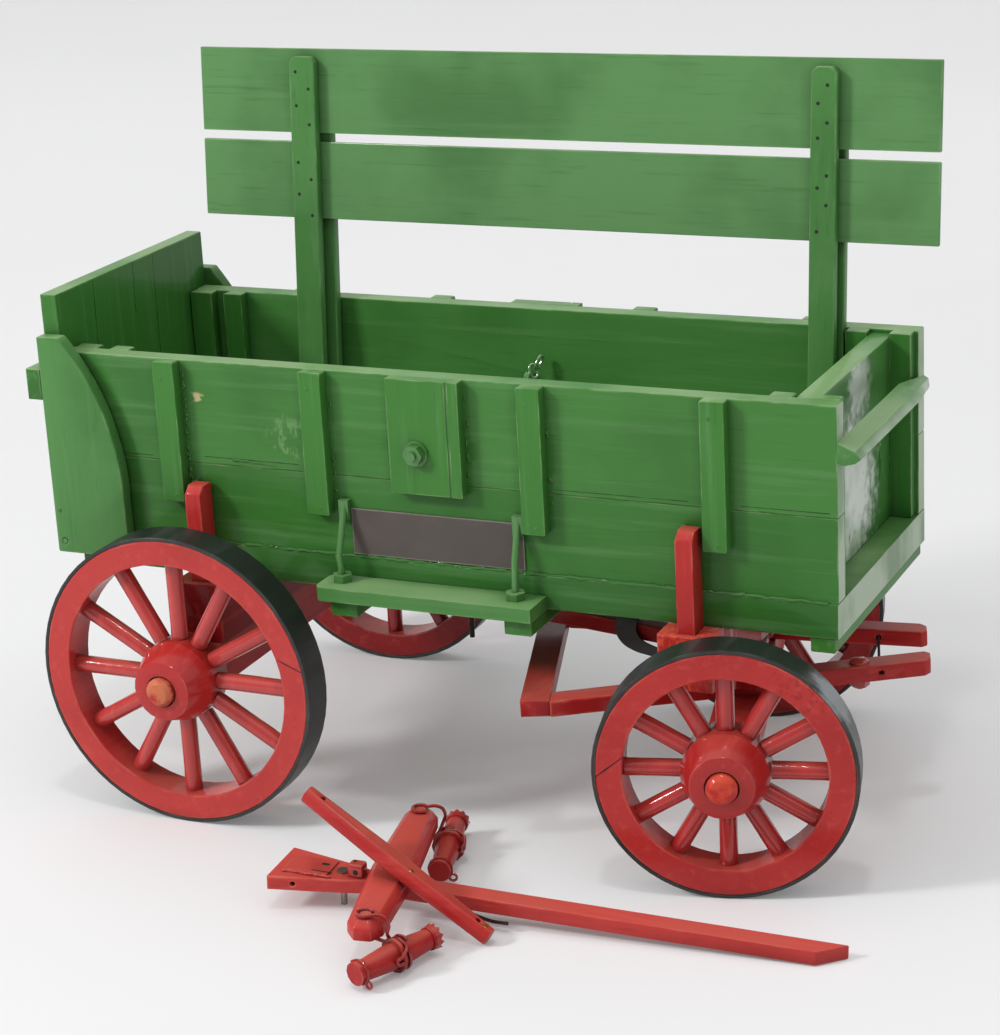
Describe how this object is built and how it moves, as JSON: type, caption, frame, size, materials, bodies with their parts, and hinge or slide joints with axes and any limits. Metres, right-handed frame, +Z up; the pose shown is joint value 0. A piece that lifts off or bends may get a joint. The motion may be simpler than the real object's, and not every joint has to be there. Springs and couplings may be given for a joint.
{
  "type": "box wagon",
  "caption": "Hand-built wooden model of a farm box wagon with bang boards on one side, steering front gear, spoked wheels, hinged scoop endgate, side step and a loose tongue set.",
  "frame": {"origin": "on the ground, under the middle of the whole set's bounding box", "axes": "+X forward to the front endboard, +Y to the wagon's left, +Z up"},
  "size_m": [0.4899, 0.4344, 0.3908],
  "materials": {
    "box_green": "hand-brushed gloss green paint",
    "gear_red": "hand-brushed gloss red paint",
    "tyre": "dull black",
    "plate": "worn dull grey",
    "hardware": "bare steel",
    "hardware_green": "green paint",
    "hardware_red": "red paint"
  },
  "bodies": {
    "root": {"floor_board": "box_green", "floor_sills": "box_green", "near_lower_board": "box_green", "near_upper_board": "box_green", "far_lower_board": "box_green", "far_upper_board": "box_green", "outer_cleats": "box_green", "side_blocks": "box_green", "inner_cleats": "box_green", "front_endboard": "box_green", "front_crossbar": "box_green", "tail_hinge_eyes": "hardware", "step_board": "box_green", "step_rods": "hardware_green", "sign_plate": "plate", "bang_boards": "box_green", "bang_posts": "box_green", "spreader_chain": "hardware_green", "chain_bolts": "hardware_green", "rear_axle": "gear_red", "rear_bolster": "gear_red", "front_bolster": "gear_red", "stakes": "gear_red", "reach": "gear_red", "king_pin": "hardware", "rear_strap": "hardware_red", "axle_bolts": "hardware_red"},
    "endgate": {"tailboard": "box_green", "tail_crossbar": "box_green", "tail_wings": "box_green", "tail_hinge_rod": "hardware"},
    "front_gear": {"front_axle": "gear_red", "sand_board": "gear_red", "hounds": "gear_red", "sway_bar": "gear_red"},
    "rear_near_wheel": {"rear_near_hub": "gear_red", "rear_near_spokes": "gear_red", "rear_near_felloe": "gear_red", "rear_near_tyre": "tyre"},
    "rear_far_wheel": {"rear_far_hub": "gear_red", "rear_far_spokes": "gear_red", "rear_far_felloe": "gear_red", "rear_far_tyre": "tyre"},
    "front_near_wheel": {"front_near_hub": "gear_red", "front_near_spokes": "gear_red", "front_near_felloe": "gear_red", "front_near_tyre": "tyre"},
    "front_far_wheel": {"front_far_hub": "gear_red", "front_far_spokes": "gear_red", "front_far_felloe": "gear_red", "front_far_tyre": "tyre"},
    "tongue": {"tongue": "gear_red", "tongue_pins": "hardware"},
    "doubletree": {"doubletree": "gear_red", "tree_pins": "hardware"},
    "near_singletree": {"near_singletree": "gear_red"},
    "far_singletree": {"far_singletree": "gear_red"},
    "neck_yoke": {"neck_yoke": "gear_red"}
  },
  "joints": [
    {"name": "steering", "type": "hinge", "parent": "root", "child": "front_gear", "pos_m": [0.1385, 0.0547, 0.0975], "axis": [0, 0, 1], "range_deg": [-31, 8]},
    {"name": "endgate_hinge", "type": "hinge", "parent": "root", "child": "endgate", "pos_m": [-0.231, 0.0547, 0.141], "axis": [0, -1, 0], "range_deg": [0, 90]},
    {"name": "rear_near_spin", "type": "hinge", "parent": "root", "child": "rear_near_wheel", "pos_m": [-0.143, -0.0623, 0.082], "axis": [0, 1, 0], "continuous": true},
    {"name": "rear_far_spin", "type": "hinge", "parent": "root", "child": "rear_far_wheel", "pos_m": [-0.143, 0.1887, 0.082], "axis": [0, 1, 0], "continuous": true},
    {"name": "front_near_spin", "type": "hinge", "parent": "front_gear", "child": "front_near_wheel", "pos_m": [0.16621, -0.05897, 0.067], "axis": [-0.2368, 0.9715, 0], "continuous": true},
    {"name": "front_far_spin", "type": "hinge", "parent": "front_gear", "child": "front_far_wheel", "pos_m": [0.11079, 0.16837, 0.067], "axis": [-0.2368, 0.9715, 0], "continuous": true},
    {"name": "tongue_lift", "type": "slide", "parent": "root", "child": "tongue", "axis": [0, 0, 1], "range_m": [0, 0.08]},
    {"name": "doubletree_pivot", "type": "hinge", "parent": "tongue", "child": "doubletree", "pos_m": [0.01412, -0.13239, 0.01747], "axis": [0.0416, 0.0029, 0.9991], "range_deg": [-12, 5]},
    {"name": "near_singletree_pivot", "type": "hinge", "parent": "doubletree", "child": "near_singletree", "pos_m": [0.02698, -0.18997, 0.0171], "axis": [0.0416, 0.0029, 0.9991], "range_deg": [-12, 12]},
    {"name": "far_singletree_pivot", "type": "hinge", "parent": "doubletree", "child": "far_singletree", "pos_m": [0.00125, -0.07481, 0.01783], "axis": [0.0416, 0.0029, 0.9991], "range_deg": [-12, 12]},
    {"name": "neck_yoke_lift", "type": "slide", "parent": "doubletree", "child": "neck_yoke", "axis": [0, 0, 1], "range_m": [0, 0.05]}
  ]
}
